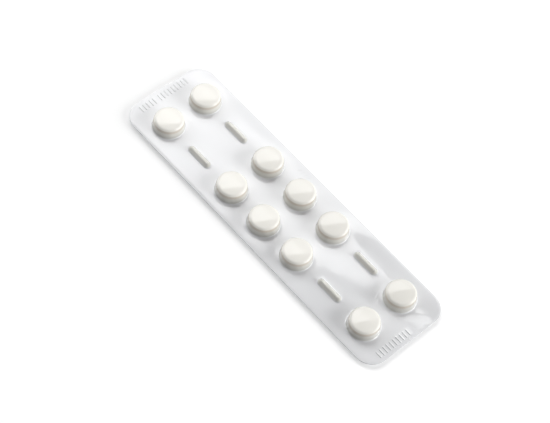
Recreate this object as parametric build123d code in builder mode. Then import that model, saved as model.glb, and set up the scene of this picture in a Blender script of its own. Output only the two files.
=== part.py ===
from build123d import *
import math
import os

# Pill blister pack: a thermoformed film with ten pockets and four stiffening ribs,
# a flat push-through foil sealed under it, and one round tablet in each pocket.
# Millimetres, +Z up. The origin is the middle of the foil's underside, +X runs along
# the pack and +Y towards row A.

os.makedirs("parts", exist_ok=True)

# Forming grid: two rows of seven positions, each a pocket, a rib or left flat
position_pitch = 13.5
row_pitch = 13.5
last_position = 6
pocket_positions = (0, 2, 3, 4, 6)
rib_positions = (1, 5)

# Trimmed outline
end_margin = 11.2
side_margin = 8.0
corner_radius = 5.5
trim_step_depth = 0.3
trim_step_offset = 2.6

# Sheets
foil_thickness = 0.03
film_thickness = 0.25
drawn_thickness = 0.18

# Flat-faced round tablet with bevelled edges
tablet_diameter = 7.5
tablet_thickness = 3.0
tablet_bevel = 0.4

# Pocket, sized round the tablet
tablet_side_clearance = 0.86
tablet_headspace = 0.62
pocket_draft = 9.0
pocket_crown = 0.25
pocket_shoulder_radius = 1.0
pocket_flare_radius = 0.35

# Stiffening rib
rib_length = 8.9
rib_width = 2.5
rib_height = 1.15
rib_draft = 38.0
rib_round = 0.45

# Levels and overall sizes that follow from the values above
film_underside = foil_thickness
film_top = film_underside + film_thickness
pack_length = last_position * position_pitch + 2 * end_margin
pack_width = row_pitch + 2 * side_margin
tablet_radius = tablet_diameter / 2
cavity_radius = tablet_radius + tablet_side_clearance
cavity_top = foil_thickness + tablet_thickness + tablet_headspace
pocket_top = cavity_top + drawn_thickness


def wall_offset(draft):
    """How much further out a wall starts on the film's top than its inside does on the underside."""
    lean = math.radians(draft)
    return drawn_thickness / math.cos(lean) - film_thickness * math.tan(lean)


pocket_radius = cavity_radius + wall_offset(pocket_draft)


def grid_places(positions, row_y):
    """Centres of the given positions along the row at row_y."""
    middle = last_position / 2
    return [((position - middle) * position_pitch, row_y) for position in positions]


rows = {"a": row_pitch / 2, "b": -row_pitch / 2}
pocket_places = [place for row_y in rows.values() for place in grid_places(pocket_positions, row_y)]
rib_places = [place for row_y in rows.values() for place in grid_places(rib_positions, row_y)]


def crown_radius(half_width, rise):
    """Radius of the sphere whose cap has this half width and rise."""
    return (half_width**2 + rise**2) / (2 * rise)


def pocket_form(floor, base, radius, top, shoulder, flare):
    """Round form of a pocket on the plane at base: flared foot, drafted wall, crowned top.

    The form reaches down to floor as a flat disc, so that it joins or cuts the sheet cleanly.
    """
    shoulder_level = top - pocket_crown
    shoulder_half = radius - (shoulder_level - base) * math.tan(math.radians(pocket_draft))
    disc_radius = radius + 2 * flare
    with BuildPart() as form:
        with BuildSketch(Plane.XZ) as section:
            with BuildLine():
                Polyline(
                    (0, top), (0, floor), (disc_radius, floor), (disc_radius, base),
                    (radius, base), (shoulder_half, shoulder_level),
                )
                RadiusArc((0, top), (shoulder_half, shoulder_level), crown_radius(shoulder_half, pocket_crown))
            make_face()
            fillet(section.vertices().sort_by_distance((radius, base))[0], flare)
            fillet(section.vertices().sort_by_distance((shoulder_half, shoulder_level))[0], shoulder)
        revolve(axis=Axis.Z)
    return form.part


def rib_form(base, length, width, height, rounding):
    """Round-ended rib with drafted sides on the plane at base."""
    with BuildPart() as form:
        with BuildSketch(Plane.XY.offset(base)):
            SlotOverall(length, width)
        extrude(amount=height, taper=rib_draft)
        fillet(form.faces().sort_by(Axis.Z)[-1].edges(), rounding)
    return form.part


# Outline that both sheets are punched to, with the small step in its first end
with BuildSketch() as pack_outline:
    with BuildLine():
        Polyline(
            (-pack_length / 2, -pack_width / 2),
            (pack_length / 2, -pack_width / 2),
            (pack_length / 2, pack_width / 2),
            (-pack_length / 2 + trim_step_depth, pack_width / 2),
            (-pack_length / 2 + trim_step_depth, trim_step_offset),
            (-pack_length / 2, trim_step_offset),
            close=True,
        )
    make_face()
    across = pack_outline.vertices().group_by(Axis.Y)
    fillet(across[0] + across[-1], corner_radius)

# Lidding foil, flat under the whole pack
with BuildPart() as lidding_foil:
    with BuildSketch():
        add(pack_outline.sketch)
    extrude(amount=foil_thickness)

# Forming film: the flat web, then the pockets and ribs raised from it with hollow insides
pocket_outside = pocket_form(
    film_underside, film_top, pocket_radius, pocket_top, pocket_shoulder_radius, pocket_flare_radius
)
pocket_inside = pocket_form(
    film_underside - film_thickness, film_underside, cavity_radius, cavity_top,
    pocket_shoulder_radius - drawn_thickness, pocket_flare_radius + film_thickness,
)
rib_outside = rib_form(film_top, rib_length, rib_width, rib_height, rib_round)
rib_inside = rib_form(
    film_underside, rib_length - 2 * wall_offset(rib_draft), rib_width - 2 * wall_offset(rib_draft),
    film_thickness + rib_height - drawn_thickness, rib_round - drawn_thickness,
)
with BuildPart() as forming_film:
    with BuildSketch(Plane.XY.offset(film_underside)):
        add(pack_outline.sketch)
    extrude(amount=film_thickness)
    with Locations(*pocket_places):
        add(pocket_outside)
    with Locations(*rib_places):
        add(rib_outside)
    with Locations(*pocket_places):
        add(pocket_inside, mode=Mode.SUBTRACT)
    with Locations(*rib_places):
        add(rib_inside, mode=Mode.SUBTRACT)


def make_tablet(name, place):
    """Tablet lying on the foil in the pocket at place."""
    with BuildPart(Plane.XY.offset(foil_thickness)) as tablet:
        with Locations(place):
            Cylinder(tablet_radius, tablet_thickness, align=(Align.CENTER, Align.CENTER, Align.MIN))
        chamfer(tablet.edges().filter_by(GeomType.CIRCLE), tablet_bevel)
    tablet.part.label = name
    export_step(tablet.part, f"parts/{name}.step")


lidding_foil.part.label = "lidding_foil"
export_step(lidding_foil.part, "parts/lidding_foil.step")

forming_film.part.label = "forming_film"
export_step(forming_film.part, "parts/forming_film.step")

for row_name, row_y in rows.items():
    for number, place in enumerate(grid_places(pocket_positions, row_y), start=1):
        make_tablet(f"tablet_{row_name}{number}", place)
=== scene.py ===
"""Dresses the pill blister pack and sets it in a plain pale studio.

Lengths in the classes are millimetres, as the pack is drawn, and become metres when an
object is made. The lamps and the camera's clip range alone are given in metres. The
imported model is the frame: its foil and tablets are dressed as they are, and the formed
film is made again here as one fine, continuous skin.
"""

import logging
import math
from dataclasses import dataclass, field
from enum import Enum
from typing import Any, Sequence

import bmesh
import bpy
import numpy as np
from mathutils import Matrix, Vector
from mathutils.geometry import delaunay_2d_cdt

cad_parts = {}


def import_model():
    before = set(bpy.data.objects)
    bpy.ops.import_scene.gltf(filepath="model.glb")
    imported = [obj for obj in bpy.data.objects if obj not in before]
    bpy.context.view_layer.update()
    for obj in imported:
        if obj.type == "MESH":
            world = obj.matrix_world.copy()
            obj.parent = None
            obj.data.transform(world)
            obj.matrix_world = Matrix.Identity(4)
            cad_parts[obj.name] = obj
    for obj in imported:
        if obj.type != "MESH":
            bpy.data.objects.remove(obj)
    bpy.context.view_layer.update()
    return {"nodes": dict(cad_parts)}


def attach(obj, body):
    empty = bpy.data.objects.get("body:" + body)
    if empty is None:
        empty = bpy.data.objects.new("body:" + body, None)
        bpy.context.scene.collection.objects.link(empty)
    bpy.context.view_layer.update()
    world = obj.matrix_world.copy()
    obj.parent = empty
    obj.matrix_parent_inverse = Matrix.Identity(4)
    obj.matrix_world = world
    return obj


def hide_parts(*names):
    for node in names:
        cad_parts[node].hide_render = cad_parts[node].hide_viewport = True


MM = 0.001
PITCH = 13.5
POCKET_PLACES = (-3, -1, 0, 1, 3)
RIB_PLACES = (-2, 2)
FOIL = 0.03
FILM = 0.25
PAPER_WHITE = (1.0, 1.0, 1.0, 1.0)
log = logging.getLogger("blister_pack")

Colour = tuple[float, float, float]
Span = tuple[float, float]


# Placing tools

def direction(azimuth: float, elevation: float) -> Vector:
    """Direction out of the pack.

    Args:
        azimuth: Degrees from -Y towards +X.
        elevation: Degrees above the level.

    Returns:
        The direction, with a length of 1.
    """
    turn, rise = math.radians(azimuth), math.radians(elevation)
    return Vector((math.sin(turn) * math.cos(rise), -math.cos(turn) * math.cos(rise), math.sin(rise)))


def put(name: str, data: bpy.types.ID) -> bpy.types.Object:
    """Make an object and link it into the scene.

    Args:
        name: The object's name.
        data: Its mesh, lamp or camera.

    Returns:
        The object.
    """
    made = bpy.data.objects.new(name, data)
    bpy.context.scene.collection.objects.link(made)
    return made


def stand(made: bpy.types.Object, axes: Sequence[Vector], centre: Vector) -> None:
    """Stand an object in its place.

    Args:
        made: The object.
        axes: Its x, y and z axes.
        centre: Its place in metres.
    """
    pose = Matrix(axes).transposed().to_4x4()
    pose.translation = centre
    made.matrix_world = pose


# Shader tools

class Signal:
    """A shader socket that takes part in Python arithmetic."""

    def __init__(self, shader: "Shader", socket: bpy.types.NodeSocket) -> None:
        """Wrap the output socket of a node in the shader."""
        self.shader = shader
        self.socket = socket

    def math(self, operation: str, *values: "Signal | float") -> "Signal":
        """Pass this signal and the values through one Math node.

        Args:
            operation: The Math node's operation.
            values: What goes to the node's second and third sockets.

        Returns:
            The node's result.
        """
        inputs = dict(enumerate([self, *values]))
        return self.shader.add("ShaderNodeMath", {"operation": operation}, inputs)

    def __add__(self, other: "Signal | float") -> "Signal":
        """Sum."""
        return self.math("ADD", other)

    __radd__ = __add__

    def __mul__(self, other: "Signal | float") -> "Signal":
        """Product."""
        return self.math("MULTIPLY", other)

    __rmul__ = __mul__

    def __sub__(self, other: "Signal | float") -> "Signal":
        """Difference."""
        return self.math("SUBTRACT", other)

    def __rsub__(self, other: float) -> "Signal":
        """Difference from a number."""
        inputs = {0: other, 1: self}
        return self.shader.add("ShaderNodeMath", {"operation": "SUBTRACT"}, inputs)

    def __abs__(self) -> "Signal":
        """Size without sign."""
        return self.math("ABSOLUTE")

    def sine(self) -> "Signal":
        """Sine of the signal in radians."""
        return self.math("SINE")

    def least(self, other: "Signal | float") -> "Signal":
        """The smaller of the two."""
        return self.math("MINIMUM", other)

    def most(self, other: "Signal | float") -> "Signal":
        """The larger of the two."""
        return self.math("MAXIMUM", other)

    def ramp(self, low: float, high: float) -> "Signal":
        """Rise smoothly from 0 at low to 1 at high, or fall where low is the larger.

        Args:
            low: Where the result is 0.
            high: Where the result is 1.

        Returns:
            The smooth step between them.
        """
        settings = {"interpolation_type": "SMOOTHSTEP"}
        inputs = {"Value": self, "From Min": low, "From Max": high, "To Min": 0.0, "To Max": 1.0}
        return self.shader.add("ShaderNodeMapRange", settings, inputs)


class Shader:
    """Builds one node tree."""

    def __init__(self, tree: bpy.types.NodeTree) -> None:
        """Start from an empty tree."""
        self.tree = tree
        self.tree.nodes.clear()

    @classmethod
    def material(cls, name: str) -> tuple["Shader", bpy.types.Material]:
        """Make a new material and the shader that fills it.

        Args:
            name: The material's name.

        Returns:
            The shader and the material.
        """
        made = bpy.data.materials.new(name)
        made.use_nodes = True
        return cls(made.node_tree), made

    def node(self, kind: str, settings: dict[str, Any], inputs: dict[str | int, Any]) -> bpy.types.Node:
        """Make a node, set it up and feed it.

        Args:
            kind: The node's type.
            settings: The node's own properties, which are set first.
            inputs: A value, or the signal to link, for each named or numbered socket.

        Returns:
            The node.
        """
        made = self.tree.nodes.new(kind)
        for name, value in settings.items():
            setattr(made, name, value)
        for name, value in inputs.items():
            socket = made.inputs[name]
            if isinstance(value, Signal):
                self.tree.links.new(value.socket, socket)
            else:
                socket.default_value = value
        return made

    def add(self, kind: str, settings: dict[str, Any], inputs: dict[str | int, Any],
            output: str | int = 0) -> Signal:
        """Make a node for the sake of one output.

        Args:
            kind: The node's type.
            settings: The node's own properties.
            inputs: A value, or the signal to link, for each named or numbered socket.
            output: The output socket that is wanted.

        Returns:
            That output as a signal.
        """
        return Signal(self, self.node(kind, settings, inputs).outputs[output])

    def port(self, signal: Signal, name: str) -> Signal:
        """Another output of the node that the signal comes from."""
        return Signal(self, signal.socket.node.outputs[name])

    def place(self) -> Signal:
        """The point on the surface in the pack's own frame, in millimetres."""
        point = self.add("ShaderNodeTexCoord", {}, {}, "Object")
        return self.add("ShaderNodeVectorMath", {"operation": "SCALE"}, {0: point, "Scale": 1 / MM})

    def axes(self, point: Signal) -> tuple[Signal, Signal, Signal]:
        """The three parts of a point."""
        split = self.add("ShaderNodeSeparateXYZ", {}, {0: point})
        return split, self.port(split, "Y"), self.port(split, "Z")

    def from_pockets(self, x: Signal, y: Signal) -> Signal:
        """Distance to the axis of the nearest pocket, in millimetres.

        Args:
            x: Where along the pack.
            y: Where across it.

        Returns:
            The distance.
        """
        middle, *outer = (PITCH * place for place in POCKET_PLACES if place >= 0)
        along = abs(x)
        column = abs(along - middle)
        for centre in outer:
            column = column.least(abs(along - centre))
        row = abs(y) - PITCH / 2
        return (column * column + row * row).math("SQRT")

    def seen(self) -> Signal:
        """Say which rays carry a look and not light.

        Returns:
            1 for rays from the camera, off a mirror or through a clear sheet, and 0 for the rest.
        """
        path = self.add("ShaderNodeLightPath", {}, {}, "Is Camera Ray")
        return path.most(self.port(path, "Is Glossy Ray")).most(self.port(path, "Is Transmission Ray"))

    def noise(self, point: Signal, grain: float, detail: float = 2.0) -> Signal:
        """Cloudy noise from 0 to 1.

        Args:
            point: Where on the surface, in millimetres.
            grain: The size of one cloud in millimetres.
            detail: How many finer layers lie on it.

        Returns:
            The noise's value.
        """
        inputs = {"Vector": point, "Scale": 1 / grain, "Detail": detail}
        return self.add("ShaderNodeTexNoise", {}, inputs)

    def blend(self, share: Signal, first: Signal | Colour, second: Signal | Colour) -> Signal:
        """Colour that runs from first to second as the share goes from 0 to 1.

        A Mix node's colour sockets are the sixth and seventh after its factor, and its
        colour output is the third.

        Args:
            share: How much of the second colour there is.
            first: The colour at a share of 0.
            second: The colour at a share of 1.

        Returns:
            The colour.
        """
        ends = [(*c, 1.0) if isinstance(c, tuple) else c for c in (first, second)]
        inputs = {0: share, 6: ends[0], 7: ends[1]}
        return self.add("ShaderNodeMix", {"data_type": "RGBA"}, inputs, 2)

    def bump(self, height: Signal, depth: float) -> Signal:
        """Normal of a relief as deep as depth millimetres."""
        inputs = {"Strength": 1.0, "Distance": depth * MM, "Height": height}
        return self.add("ShaderNodeBump", {}, inputs)

    def surface(self, **sockets: Any) -> None:
        """Finish the tree with one Principled surface.

        Args:
            sockets: Socket names with their spaces as underscores, and their values.
        """
        inputs = {name.replace("_", " "): value for name, value in sockets.items()}
        shaded = self.add("ShaderNodeBsdfPrincipled", {}, inputs)
        self.node("ShaderNodeOutputMaterial", {}, {"Surface": shaded})


# Finishes

@dataclass(frozen=True)
class Crease:
    """Short soft fold in the sheet, in millimetres and degrees from +X."""

    x: float
    y: float
    angle: float
    half_length: float
    half_width: float
    depth: float
    full_share: float = 0.3

    def height(self, x: Signal, y: Signal) -> Signal:
        """Height of the fold over the sheet.

        Args:
            x: Where along the pack.
            y: Where across it.

        Returns:
            The height in millimetres, 0 away from the fold.
        """
        cosine, sine = math.cos(math.radians(self.angle)), math.sin(math.radians(self.angle))
        along = (x - self.x) * cosine + (y - self.y) * sine
        across = (y - self.y) * cosine - (x - self.x) * sine
        length = abs(along).ramp(self.half_length, self.full_share * self.half_length)
        return length * abs(across).ramp(self.half_width, 0.0) * self.depth


@dataclass(frozen=True)
class SheetBend:
    """How the sheet curls, sags and wrinkles, as a height that only the light shows.

    The real sheet stands up at its long edges. The skin stays flat, within the pack's own
    height, and this relief leans its surface as the bend would. A part of the bend is
    weighed by how flat the sheet lies, from 0 on the pockets' tops to 1 on the web.
    """

    flat_fall: Span = (2.6, 0.4)
    cap_curl: float = 0.00215
    cap_curl_along: Span = (-50.0, 10.0)
    web_curl: float = -0.0016
    lean: float = 0.015
    bow: float = 0.00031
    dish: float = 0.012
    dish_reach: Span = (4.8, 8.2)
    sag: float = 0.55
    sag_along: Span = (5.0, 60.0)
    lip: float = 0.6
    lip_along: Span = (8.0, 24.0)
    lip_across: Span = (8.5, 15.5)
    ripple: float = 0.02
    ripple_grain: float = 7.0
    peel: float = 0.0004
    peel_grain: float = 0.35
    creases: tuple[Crease, ...] = (
        Crease(36.3, 2.2, 118.0, 1.5, 0.35, 0.035),
        Crease(37.8, 1.1, 128.0, 1.2, 0.3, 0.03),
        Crease(47.5, 7.1, 46.7, 4.2, 0.7, -0.016),
        Crease(-6.6, 12.7, 62.0, 0.9, 0.25, 0.05),
        Crease(-5.4, 12.9, 68.0, 1.1, 0.22, 0.045),
        Crease(-4.2, 13.0, 60.0, 0.8, 0.22, 0.04),
        Crease(-2.9, 13.2, 66.0, 1.0, 0.25, 0.045),
    )

    def height(self, shader: Shader, point: Signal, rise: Signal) -> Signal:
        """Height of the bend.

        Args:
            shader: The film's shader.
            point: Where on the film, in millimetres.
            rise: How far above the flat web that is.

        Returns:
            The height in millimetres.
        """
        x, y, _ = shader.axes(point)
        flat = rise.ramp(*self.flat_fall)
        cap_curl = x.ramp(*self.cap_curl_along) * (1.0 - flat) * self.cap_curl
        curl = y * y * (cap_curl + flat * self.web_curl)
        dish = shader.from_pockets(x, y).ramp(*self.dish_reach) * self.dish
        sag = x.ramp(*self.sag_along) * flat * -self.sag
        lip = y.ramp(*self.lip_across) * x.ramp(*self.lip_along) * flat * self.lip
        bend = curl + dish + sag + lip + x * -self.lean + x * x * self.bow
        for crease in self.creases:
            bend += crease.height(x, y)
        bend += shader.noise(point, self.ripple_grain, detail=1.0) * self.ripple
        return bend + shader.noise(point, self.peel_grain, detail=1.0) * self.peel


@dataclass(frozen=True)
class MilkyFilm:
    """Glossy milky film: cool on the flat web, ivory and thinner where it is drawn up.

    The spans are heights over the web at which a pocket's zones start and end. Only the
    foot's reach is a distance from the pocket's axis, which leaves the ribs out. The foot's
    grey is painted shade at the bottom of each pocket wall, and the band under the shoulder
    is painted shade of the gap between tablet and wall, in the tablets' warm tone.
    """

    web: Colour = (0.82, 0.825, 0.84)
    wall: Colour = (0.78, 0.765, 0.71)
    wall_rise: Span = (0.05, 0.5)
    # Painted shade: the grey at the foot of each pocket wall stands in for the shade that falls there.
    foot: Colour = (0.65, 0.645, 0.61)
    foot_shade_fall: Span = (1.4, 0.4)
    foot_shade_reach: Span = (6.4, 5.6)
    # Painted shade: a tan band under the pockets' shoulders for the shaded gap between tablet and wall,
    # in the tablets' warm tone.
    shade_band: Colour = (0.69, 0.63, 0.55)
    shade_band_rise: Span = (1.8, 2.3)
    shade_band_least: float = 0.7
    shade_band_cloud: float = 0.5
    cap: Colour = (0.93, 0.913, 0.857)
    cap_rise: Span = (2.65, 3.0)
    cloud_grain: float = 5.0
    roughness: float = 0.04
    roughness_cloud: float = 0.02
    ior: float = 1.5
    web_alpha: float = 0.95
    drawn_alpha: float = 0.88
    bend: SheetBend = SheetBend()

    def make(self) -> bpy.types.Material:
        """Build the material.

        Returns:
            The material.
        """
        shader, made = Shader.material("milky_film")
        point = shader.place()
        x, y, z = shader.axes(point)
        rise = z - (FOIL + FILM)
        drawn = rise.ramp(*self.wall_rise)
        cloud = shader.noise(point, self.cloud_grain)
        # Painted shade at the foot of each pocket wall, fading up the wall and away from the pocket.
        foot = drawn * rise.ramp(*self.foot_shade_fall) * shader.from_pockets(x, y).ramp(*self.foot_shade_reach)
        # Painted shade band under the shoulders, clouded by noise.
        shade_band = rise.ramp(*self.shade_band_rise) * (self.shade_band_least + self.shade_band_cloud * cloud)
        colour = shader.blend(drawn, self.web, self.wall)
        colour = shader.blend(foot, colour, self.foot)
        colour = shader.blend(shade_band, colour, self.shade_band)
        colour = shader.blend(rise.ramp(*self.cap_rise), colour, self.cap)
        shader.surface(
            Base_Color=colour,
            Roughness=self.roughness + self.roughness_cloud * cloud,
            IOR=self.ior,
            Alpha=self.web_alpha + (self.drawn_alpha - self.web_alpha) * drawn,
            Normal=shader.bump(self.bend.height(shader, point, rise), 1.0),
        )
        return made


@dataclass(frozen=True)
class SealedFoil:
    """Bare foil, matt and knurled where it is sealed, smoother under the pockets."""

    bright: Colour = (0.78, 0.79, 0.80)
    dull: Colour = (0.68, 0.69, 0.71)
    streak_grain: float = 1.5
    seal_reach: Span = (4.95, 5.25)
    knurl_pitch: float = 0.9
    relief_depth: float = 0.03
    crumple: float = 2.0
    crumple_grain: float = 6.0
    roughness: float = 0.28
    roughness_seal: float = 0.14
    roughness_streak: float = 0.06

    def make(self) -> bpy.types.Material:
        """Build the material.

        Returns:
            The material.
        """
        shader, made = Shader.material("sealed_foil")
        point = shader.place()
        x, y, _ = shader.axes(point)
        sealed = shader.from_pockets(x, y).ramp(*self.seal_reach)
        turn = 2 * math.pi / self.knurl_pitch
        knurl = ((x + y) * turn).sine() * ((x - y) * turn).sine()
        relief = sealed * knurl + self.crumple * shader.noise(point, self.crumple_grain, detail=3.0)
        streak = shader.noise(point, self.streak_grain, detail=3.0)
        shader.surface(
            Base_Color=shader.blend(streak, self.bright, self.dull),
            Metallic=1.0,
            Roughness=self.roughness + self.roughness_seal * sealed + self.roughness_streak * streak,
            Normal=shader.bump(relief, self.relief_depth),
        )
        return made


@dataclass(frozen=True)
class PressedPowder:
    """Matt pressed powder with a fine grain and faint specks."""

    body: Colour = (0.86, 0.80, 0.70)
    speck: Colour = (0.70, 0.60, 0.46)
    speck_grain: float = 0.25
    speck_noise: Span = (0.62, 0.72)
    grain: float = 0.12
    grain_depth: float = 0.02
    roughness: float = 0.7
    roughness_grain: float = 0.15

    def make(self) -> bpy.types.Material:
        """Build the material.

        Returns:
            The material.
        """
        shader, made = Shader.material("pressed_powder")
        point = shader.place()
        specks = shader.noise(point, self.speck_grain, detail=1.0).ramp(*self.speck_noise)
        grain = shader.noise(point, self.grain)
        shader.surface(
            Base_Color=shader.blend(specks, self.body, self.speck),
            Roughness=self.roughness + self.roughness_grain * grain,
            Normal=shader.bump(grain, self.grain_depth),
        )
        return made


@dataclass(frozen=True)
class StudioWhite:
    """White floor that keeps the pack's shadow and shows as paper white.

    Its tone runs from the pack's low end in x to its high end. It glows only for the rays
    that carry a look, so the glow never lights the pack.
    """

    low_end: Colour = (0.69, 0.69, 0.69)
    high_end: Colour = (0.83, 0.83, 0.83)
    reach: float = 60.0
    glow: float = 0.34

    def make(self) -> bpy.types.Material:
        """Build the material.

        Returns:
            The material.
        """
        shader, made = Shader.material("studio_white")
        x, _, _ = shader.axes(shader.place())
        low, high = (
            shader.add("ShaderNodeBsdfDiffuse", {}, {"Color": (*tone, 1.0)})
            for tone in (self.low_end, self.high_end)
        )
        ends = {"Fac": x.ramp(-self.reach, self.reach), 1: low, 2: high}
        paper = shader.add("ShaderNodeMixShader", {}, ends)
        light = {"Color": PAPER_WHITE, "Strength": shader.seen() * self.glow}
        glow = shader.add("ShaderNodeEmission", {}, light)
        both = shader.add("ShaderNodeAddShader", {}, {0: paper, 1: glow})
        shader.node("ShaderNodeOutputMaterial", {}, {"Surface": both})
        return made


# Forms drawn in the film

@dataclass(frozen=True)
class Draw:
    """Half section of a form drawn up from the web: foot, wall, shoulder and crown.

    Every form is a run of rings round a straight spine, so a pocket is one with a spine
    of no length and a rib is one with a long spine. The radius is where the wall would
    meet the web, the draft is its lean in degrees, flare and shoulder are the radii that
    round its two ends, and the crown is how far the top rises over the wall.
    """

    radius: float
    height: float
    draft: float
    shoulder: float
    crown: float
    flare: float
    half_spine: float = 0.0
    segments: int = 96
    foot_points: int = 7
    wall_points: int = 6
    shoulder_points: int = 12
    crown_points: int = 9
    spine_step: float = 0.15

    def profile(self) -> np.ndarray:
        """Work out the section from the web to the spine.

        Returns:
            Rows of radius and height above the web.
        """
        lean = math.radians(self.draft)
        along = np.array([-math.sin(lean), math.cos(lean)])
        inward = np.array([-math.cos(lean), -math.sin(lean)])
        base = np.array([self.radius, 0.0])
        top_half = self.radius - (self.height - self.crown) * math.tan(lean)
        ball = (top_half**2 + self.crown**2) / (2 * self.crown)
        ball_centre = np.array([0.0, self.height - ball])
        step = self.flare * (1 - math.sin(lean)) / math.cos(lean)
        foot_centre = base + step * along - self.flare * inward
        start = base + self.shoulder * inward - ball_centre
        off_ball = (start @ along) ** 2 - start @ start + (ball - self.shoulder) ** 2
        reach = -(start @ along) + math.sqrt(off_ball)
        shoulder_centre = base + reach * along + self.shoulder * inward
        turn = math.atan2(*(shoulder_centre - ball_centre)[::-1])
        foot = self.arc(foot_centre, self.flare, 1.5 * math.pi, math.pi + lean, self.foot_points)
        corner = self.arc(shoulder_centre, self.shoulder, lean, turn, self.shoulder_points)
        cap = self.arc(ball_centre, ball, turn, 0.5 * math.pi, self.crown_points)
        wall = foot[-1] + (corner[0] - foot[-1]) * np.linspace(0, 1, self.wall_points)[1:-1, None]
        line = np.vstack([foot, wall, corner, cap[1:]])
        line[-1, 0] = 0.0
        return line

    @staticmethod
    def arc(centre: np.ndarray, radius: float, start: float, end: float, count: int) -> np.ndarray:
        """Points along an arc.

        Args:
            centre: The arc's centre.
            radius: The arc's radius.
            start: The first angle in radians.
            end: The last angle in radians.
            count: How many points.

        Returns:
            The points as rows.
        """
        angle = np.linspace(start, end, count)
        return centre + radius * np.column_stack([np.cos(angle), np.sin(angle)])

    def ring(self, radius: float) -> np.ndarray:
        """Closed loop of points at one distance from the spine.

        Args:
            radius: That distance.

        Returns:
            The points round the spine's middle as rows of x and y.
        """
        half = self.segments // 2
        angle = (np.arange(half + 1) / half - 0.5) * math.pi
        right = np.column_stack([self.half_spine + radius * np.cos(angle), radius * np.sin(angle)])
        if self.half_spine == 0:
            return np.vstack([right[:-1], -right[:-1]])
        count = max(int(self.half_spine / self.spine_step), 2)
        run = np.linspace(self.half_spine, -self.half_spine, count)[1:-1]
        top = np.column_stack([run, np.full(len(run), radius)])
        return np.vstack([right, top, -right, -top])


@dataclass(frozen=True)
class Foot:
    """The outline on the web that one form rises from.

    Its loop has straight sides, so the face beside one lies a trace inside the radius.
    """

    centre: np.ndarray
    half_spine: float
    radius: float
    loop: np.ndarray
    side_share: float = 0.9995

    def clears(self, flat: np.ndarray, margin: float) -> np.ndarray:
        """Say which points lie outside the foot.

        Args:
            flat: Rows of x and y.
            margin: How far outside they have to be.

        Returns:
            One truth value for each point.
        """
        past_spine = np.maximum(np.abs(flat[:, 0] - self.centre[0]) - self.half_spine, 0)
        away = np.hypot(past_spine, flat[:, 1] - self.centre[1])
        return away > self.radius * self.side_share + margin


@dataclass
class Skin:
    """A growing mesh of rows of points, in millimetres.

    In the end points nearer than the merge distance become one, and edges shorter than a
    sliver go.
    """

    points: list[tuple[float, float, float]] = field(default_factory=list)
    faces: list[tuple[int, ...]] = field(default_factory=list)
    merge: float = 1e-4
    sliver: float = 1e-5

    def row(self, flat: np.ndarray, height: float | np.ndarray) -> np.ndarray:
        """Add a row of points.

        Args:
            flat: Rows of x and y.
            height: One height, or one for each point.

        Returns:
            The new points' numbers.
        """
        start = len(self.points)
        heights = np.broadcast_to(height, len(flat))
        self.points += [(float(x), float(y), float(z)) for (x, y), z in zip(flat, heights)]
        return np.arange(start, start + len(flat))

    def bridge(self, rows: Sequence[np.ndarray]) -> None:
        """Join closed rows with bands of faces, each row to the next.

        Args:
            rows: The numbers of each row's points, as many in one row as in another.
        """
        for first, second in zip(rows, rows[1:]):
            corners = zip(first, np.roll(first, -1), np.roll(second, -1), second)
            self.faces += [tuple(int(corner) for corner in face) for face in corners]

    def make(self, name: str) -> bpy.types.Object:
        """Turn the skin into a smooth object in metres, with its points merged.

        Args:
            name: The object's name.

        Returns:
            The object, linked into the scene.
        """
        mesh = bpy.data.meshes.new(name)
        mesh.from_pydata([tuple(MM * v for v in p) for p in self.points], [], self.faces)
        work = bmesh.new()
        work.from_mesh(mesh)
        bmesh.ops.remove_doubles(work, verts=work.verts, dist=self.merge * MM)
        bmesh.ops.dissolve_degenerate(work, edges=work.edges, dist=self.sliver * MM)
        bmesh.ops.recalc_face_normals(work, faces=work.faces)
        for face in work.faces:
            face.smooth = True
        work.to_mesh(mesh)
        work.free()
        return put(name, mesh)


# The pack's pieces

class Row(Enum):
    """The two rows of the forming grid, as steps across the pack."""

    A = 0.5
    B = -0.5


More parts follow.
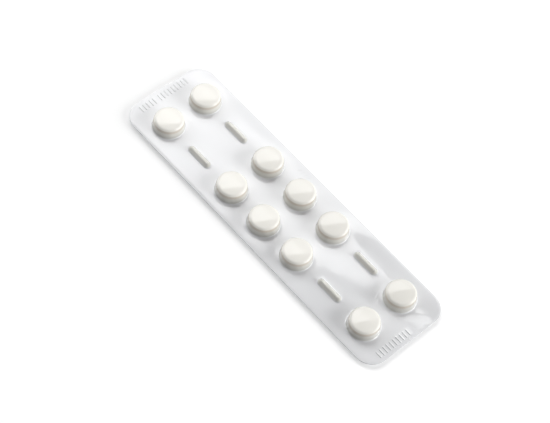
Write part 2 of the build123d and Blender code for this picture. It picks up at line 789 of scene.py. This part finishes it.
@dataclass
class FormingFilm:
    """The formed film: flat web, pockets, ribs, rows of plain ticks and the trimmed edge.

    Pockets and ribs stand on a grid of two rows of seven places, counted from the middle.
    Each run of ticks has its x, its first y and its count. The rounded edge has one ring
    between its ends, at the middle share of its radius both ways. The web is filled from
    points a grid apart, in rows that are closer by the row share. Its unevenness is the
    product of the first two waves and a share of the slanting third, and each wave has
    its turn in radians along one millimetre of x and of y, and its phase.
    """

    pitch: float = PITCH
    pocket_places: tuple[int, ...] = POCKET_PLACES
    rib_places: tuple[int, ...] = RIB_PLACES
    end_margin: float = 11.2
    side_margin: float = 8.0
    corner_radius: float = 5.5
    corner_points: int = 15
    step_depth: float = 0.3
    step_offset: float = 2.6
    edge_round: float = 0.07
    edge_middle: float = 0.29
    grid: float = 0.9
    grid_row: float = 0.866
    foot_margin: float = 0.3
    edge_margin: float = 0.45
    wave_depth: float = 0.05
    waves: tuple[tuple[float, float, float], ...] = (
        (0.21, 0.0, 0.6), (0.0, 0.17, 0.4), (0.13, -0.31, 2.1),
    )
    slant_share: float = 0.6
    tick_runs: tuple[tuple[float, float, int], ...] = (
        (-49.35, -9.3, 5), (-49.35, -2.6, 9), (49.45, -9.5, 10),
    )
    tick_pitch: float = 1.2
    pocket: Draw = Draw(radius=4.75, height=3.55, draft=9.0, shoulder=1.0, crown=0.25, flare=0.35)
    rib: Draw = Draw(radius=1.25, height=1.15, draft=38.0, shoulder=0.45, crown=0.05, flare=0.25,
                     half_spine=3.2, segments=40)
    tick: Draw = Draw(radius=0.22, height=0.12, draft=35.0, shoulder=0.05, crown=0.01, flare=0.05,
                      half_spine=0.9, segments=16)

    def outline(self) -> np.ndarray:
        """Trimmed outline as a closed loop, counter-clockwise.

        Returns:
            Rows of x and y.
        """
        half_x = self.pocket_places[-1] * self.pitch + self.end_margin
        half_y = Row.A.value * self.pitch + self.side_margin
        low_x = -half_x + self.step_depth
        r = self.corner_radius
        centres = [
            (half_x - r, -half_y + r), (half_x - r, half_y - r),
            (low_x + r, half_y - r), (-half_x + r, -half_y + r),
        ]
        corners = [
            Draw.arc(np.array(centre), r, start * math.pi, (start + 0.5) * math.pi, self.corner_points)
            for centre, start in zip(centres, (-0.5, 0.0, 0.5, 1.0))
        ]
        trim_step = np.array([[low_x, self.step_offset], [-half_x, self.step_offset]])
        turns = np.vstack([*corners[:-1], trim_step, corners[-1]])
        line: list[np.ndarray] = []
        for start, end in zip(turns, np.roll(turns, -1, axis=0)):
            count = max(int(np.hypot(*(end - start)) / self.grid), 1)
            line += [start + (end - start) * i / count for i in range(count)]
        return np.array(line)

    @staticmethod
    def inset(line: np.ndarray, depth: float) -> np.ndarray:
        """Move a counter-clockwise loop inwards.

        Args:
            line: Rows of x and y.
            depth: How far.

        Returns:
            The moved rows.
        """
        sides = (line - np.roll(line, 1, axis=0), np.roll(line, -1, axis=0) - line)
        before, after = (
            np.column_stack([-d[:, 1], d[:, 0]]) / np.hypot(d[:, 0], d[:, 1])[:, None] for d in sides
        )
        return line + depth * (before + after) / (1 + (before * after).sum(axis=1))[:, None]

    def wave(self, flat: np.ndarray) -> np.ndarray:
        """Slight unevenness of the sheet, never above its nominal level.

        Args:
            flat: Rows of x and y.

        Returns:
            One height for each point, from minus the wave's depth to 0.
        """
        x, y = flat[:, 0], flat[:, 1]
        along, across, slant = (np.sin(by_x * x + by_y * y + phase) for by_x, by_y, phase in self.waves)
        swell = along * across + self.slant_share * slant
        return -self.wave_depth * (0.5 - swell / (2 * (1 + self.slant_share)))

    def forms(self) -> list[tuple[Draw, np.ndarray]]:
        """Every drawn form with its centre.

        Returns:
            Pairs of a form and its x and y.
        """
        found: list[tuple[Draw, np.ndarray]] = []
        for row in Row:
            for form, places in ((self.pocket, self.pocket_places), (self.rib, self.rib_places)):
                found += [(form, self.pitch * np.array([place, row.value])) for place in places]
        for x, first_y, count in self.tick_runs:
            ticks_y = first_y + np.arange(count) * self.tick_pitch
            found += [(self.tick, np.array([x, y])) for y in ticks_y]
        return found

    def build(self) -> bpy.types.Object:
        """Make the film as one skin.

        Returns:
            The film's object.
        """
        skin = Skin()
        level = FOIL + FILM
        feet = []
        for form, centre in self.forms():
            section = form.profile()
            rows = []
            for radius, height in section:
                flat = form.ring(radius) + centre
                rows.append(skin.row(flat, level + height + self.wave(flat)))
            skin.bridge(rows)
            radius = section[0, 0]
            feet.append(Foot(centre, form.half_spine, radius, form.ring(radius) + centre))
        edge = self.outline()
        middle = self.edge_middle * self.edge_round
        rows = []
        for depth, drop in ((self.edge_round, 0.0), (middle, middle), (0.0, self.edge_round)):
            flat = self.inset(edge, depth)
            rows.append(skin.row(flat, level - drop + self.wave(flat)))
        rows.append(skin.row(edge, FOIL))
        skin.bridge(rows[::-1])
        self.fill_web(skin, self.inset(edge, self.edge_round), feet)
        return skin.make("formed_film")

    def fill_web(self, skin: Skin, outer: np.ndarray, feet: Sequence[Foot]) -> None:
        """Fill the flat web between the trimmed edge and the feet of the forms.

        Args:
            skin: The mesh that gets the web.
            outer: The web's outer loop.
            feet: The forms' feet, which are left open.
        """
        flat: list[np.ndarray] = []
        edges: list[tuple[int, int]] = []
        for loop in (outer, *(foot.loop for foot in feet)):
            start = len(flat)
            flat += list(loop)
            edges += [(start + i, start + (i + 1) % len(loop)) for i in range(len(loop))]
        low, high = outer.min(axis=0), outer.max(axis=0)
        nodes = np.array([
            (x + (self.grid / 2 if step % 2 else 0.0), y)
            for step, y in enumerate(np.arange(low[1], high[1], self.grid * self.grid_row))
            for x in np.arange(low[0], high[0], self.grid)
        ])
        flat += list(nodes[self.on_web(nodes, outer, feet, self.foot_margin, self.edge_margin)])
        whole_hull, same_point = 0, 1e-7
        points, _, faces, *_ = delaunay_2d_cdt(
            [Vector(p) for p in flat], edges, [], whole_hull, same_point
        )
        web = np.array([tuple(p) for p in points])
        numbers = skin.row(web, FOIL + FILM + self.wave(web))
        centres = np.array([web[list(face)].mean(axis=0) for face in faces])
        kept = self.on_web(centres, outer, feet)
        skin.faces += [tuple(int(numbers[i]) for i in face) for face, keep in zip(faces, kept) if keep]

    @staticmethod
    def on_web(flat: np.ndarray, outer: np.ndarray, feet: Sequence[Foot],
               foot_margin: float = 0.0, edge_margin: float = 0.0) -> np.ndarray:
        """Say which points lie on the web, clear of the edge and the forms.

        Args:
            flat: Rows of x and y.
            outer: The web's outer loop.
            feet: The forms' feet.
            foot_margin: The clearance from a foot.
            edge_margin: The clearance from a point of the outer loop.

        Returns:
            One truth value for each point.
        """
        start, end = outer, np.roll(outer, -1, axis=0)
        x, y = flat[:, :1], flat[:, 1:]
        crosses = (start[:, 1] > y) != (end[:, 1] > y)
        run = np.where(end[:, 1] == start[:, 1], 1.0, end[:, 1] - start[:, 1])
        hit = x < start[:, 0] + (y - start[:, 1]) * (end[:, 0] - start[:, 0]) / run
        inside = (crosses & hit).sum(axis=1) % 2 == 1
        if edge_margin:
            inside &= np.min(np.hypot(x - start[:, 0], y - start[:, 1]), axis=1) > edge_margin
        for foot in feet:
            inside &= foot.clears(flat, foot_margin)
        return inside


@dataclass
class Contents:
    """The foil and the tablets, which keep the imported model's own meshes."""

    foil_node: str = "lidding_foil"
    tablet_prefix: str = "tablet_"

    def dress(self, nodes: dict[str, bpy.types.Object]) -> list[str]:
        """Give the foil and each tablet its finish.

        Args:
            nodes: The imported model's objects by name.

        Returns:
            The names of what was dressed.
        """
        finishes = {self.foil_node: SealedFoil().make()}
        powder = PressedPowder().make()
        finishes.update({name: powder for name in nodes if name.startswith(self.tablet_prefix)})
        for name, finish in finishes.items():
            nodes[name].data.materials.clear()
            nodes[name].data.materials.append(finish)
        return sorted(finishes)


# The studio

@dataclass(frozen=True)
class Lamp:
    """A soft rectangular lamp in a plane that faces the pack.

    Bearing is counted from the far side of the pack as the camera sees it, positive to
    the camera's right. The rectangle reaches left, right, down and up from its axis, all
    in metres, after a roll about that axis. A reach below 0 stops short of the axis. At a
    radiance of 1 the lamp looks as bright as white paper.
    """

    name: str
    bearing: float
    elevation: float
    distance: float
    left: float
    right: float
    down: float
    up: float
    radiance: float
    roll: float = 0.0

    def place(self, camera_azimuth: float) -> None:
        """Put the lamp up.

        Args:
            camera_azimuth: The side that the camera looks from, in degrees.
        """
        away = direction(camera_azimuth + 180.0 - self.bearing, self.elevation)
        level = away.cross(Vector((0, 0, 1))).normalized()
        roll = math.radians(self.roll)
        side = level * math.cos(roll) + level.cross(away) * math.sin(roll)
        top = side.cross(away)
        data = bpy.data.lights.new(self.name, "AREA")
        data.shape = "RECTANGLE"
        data.size = self.left + self.right
        data.size_y = self.down + self.up
        data.energy = math.pi * self.radiance * data.size * data.size_y
        centre = away * self.distance
        centre += side * (self.right - self.left) / 2
        centre += top * (self.up - self.down) / 2
        stand(put(self.name, data), (-side, top, away), centre)


@dataclass
class Studio:
    """White floor, soft lamps and an even surround.

    The floor lies a little under the pack, because the real pack's edges stand up from it
    and throw a wide shadow. The surround is seen, and mirrored, with its own strength and
    lights the pack with the ambient one.
    """

    ambient: float = 0.17
    surround: float = 1.0
    floor_half: float = 2000.0
    floor_drop: float = 1.0
    lamps: tuple[Lamp, ...] = (
        Lamp("key_softbox", bearing=-24.3, elevation=35.0, distance=1.0,
             left=0.45, right=0.9, down=0.05, up=0.575, radiance=2.0),
        Lamp("back_panel", bearing=-9.5, elevation=-4.3, distance=0.55,
             left=1.1, right=-0.353, down=-0.33, up=1.17, radiance=2.1, roll=-32.8),
        Lamp("low_softbox", bearing=100.0, elevation=14.0, distance=3.2,
             left=1.6, right=1.2, down=0.64, up=1.2, radiance=6.6),
        Lamp("left_panel", bearing=-62.0, elevation=24.0, distance=0.3,
             left=0.08, right=0.07, down=0.07, up=0.06, radiance=4.3),
    )

    def build(self, camera_azimuth: float) -> None:
        """Set the floor, the lamps and the world.

        Args:
            camera_azimuth: The side that the camera looks from, in degrees.
        """
        self.lay_floor()
        for lamp in self.lamps:
            lamp.place(camera_azimuth)
            log.info("lamp %s", lamp.name)
        self.hang_surround()
        bpy.context.scene.view_settings.view_transform = "Standard"

    def lay_floor(self) -> None:
        """Lay the floor under the pack."""
        half, level = self.floor_half * MM, -self.floor_drop * MM
        corners = [(-half, -half), (half, -half), (half, half), (-half, half)]
        mesh = bpy.data.meshes.new("floor")
        mesh.from_pydata([(x, y, level) for x, y in corners], [], [(0, 1, 2, 3)])
        mesh.materials.append(StudioWhite().make())
        floor = put("floor", mesh)

    def hang_surround(self) -> None:
        """Make the world: white where it is seen and dim as a light."""
        world = bpy.data.worlds.new("surround")
        world.use_nodes = True
        bpy.context.scene.world = world
        shader = Shader(world.node_tree)
        strength = self.ambient + (self.surround - self.ambient) * shader.seen()
        light = {"Color": PAPER_WHITE, "Strength": strength}
        around = shader.add("ShaderNodeBackground", {}, light)
        shader.node("ShaderNodeOutputWorld", {}, {"Surface": around})


@dataclass(frozen=True)
class Viewpoint:
    """The photograph's camera, fitted to the pack's edges, pockets and ribs."""

    focal_pixels: float = 1797.0
    photo_width: int = 550
    sensor: float = 36.0
    azimuth: float = 38.97
    elevation: float = 58.04
    roll: float = 11.14
    distance: float = 494.0
    target: tuple[float, float, float] = (-0.70, -1.84, 0.28)
    clip: Span = (0.01, 20.0)

    def place(self) -> None:
        """Set up the camera."""
        back = direction(self.azimuth, self.elevation)
        right = Vector((0, 0, 1)).cross(back).normalized()
        up = back.cross(right)
        roll = math.radians(self.roll)
        side = math.cos(roll) * right + math.sin(roll) * up
        top = -math.sin(roll) * right + math.cos(roll) * up
        data = bpy.data.cameras.new("camera")
        data.sensor_width = self.sensor
        data.lens = self.focal_pixels * self.sensor / self.photo_width
        data.clip_start, data.clip_end = self.clip
        camera = put("camera", data)
        stand(camera, (side, top, back), MM * (Vector(self.target) + self.distance * back))
        bpy.context.scene.camera = camera


def main() -> None:
    """Dress the pack, build the studio and log each piece."""
    logging.basicConfig(level=logging.INFO, format="%(name)s: %(message)s")
    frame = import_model()
    film = FormingFilm().build()
    film.data.materials.append(MilkyFilm().make())
    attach(film, "root")
    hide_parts("forming_film")
    log.info("piece %s with %d faces", film.name, len(film.data.polygons))
    for name in Contents().dress(frame["nodes"]):
        log.info("dressed %s", name)
    viewpoint = Viewpoint()
    viewpoint.place()
    Studio().build(viewpoint.azimuth)


if __name__ == "__main__":
    main()
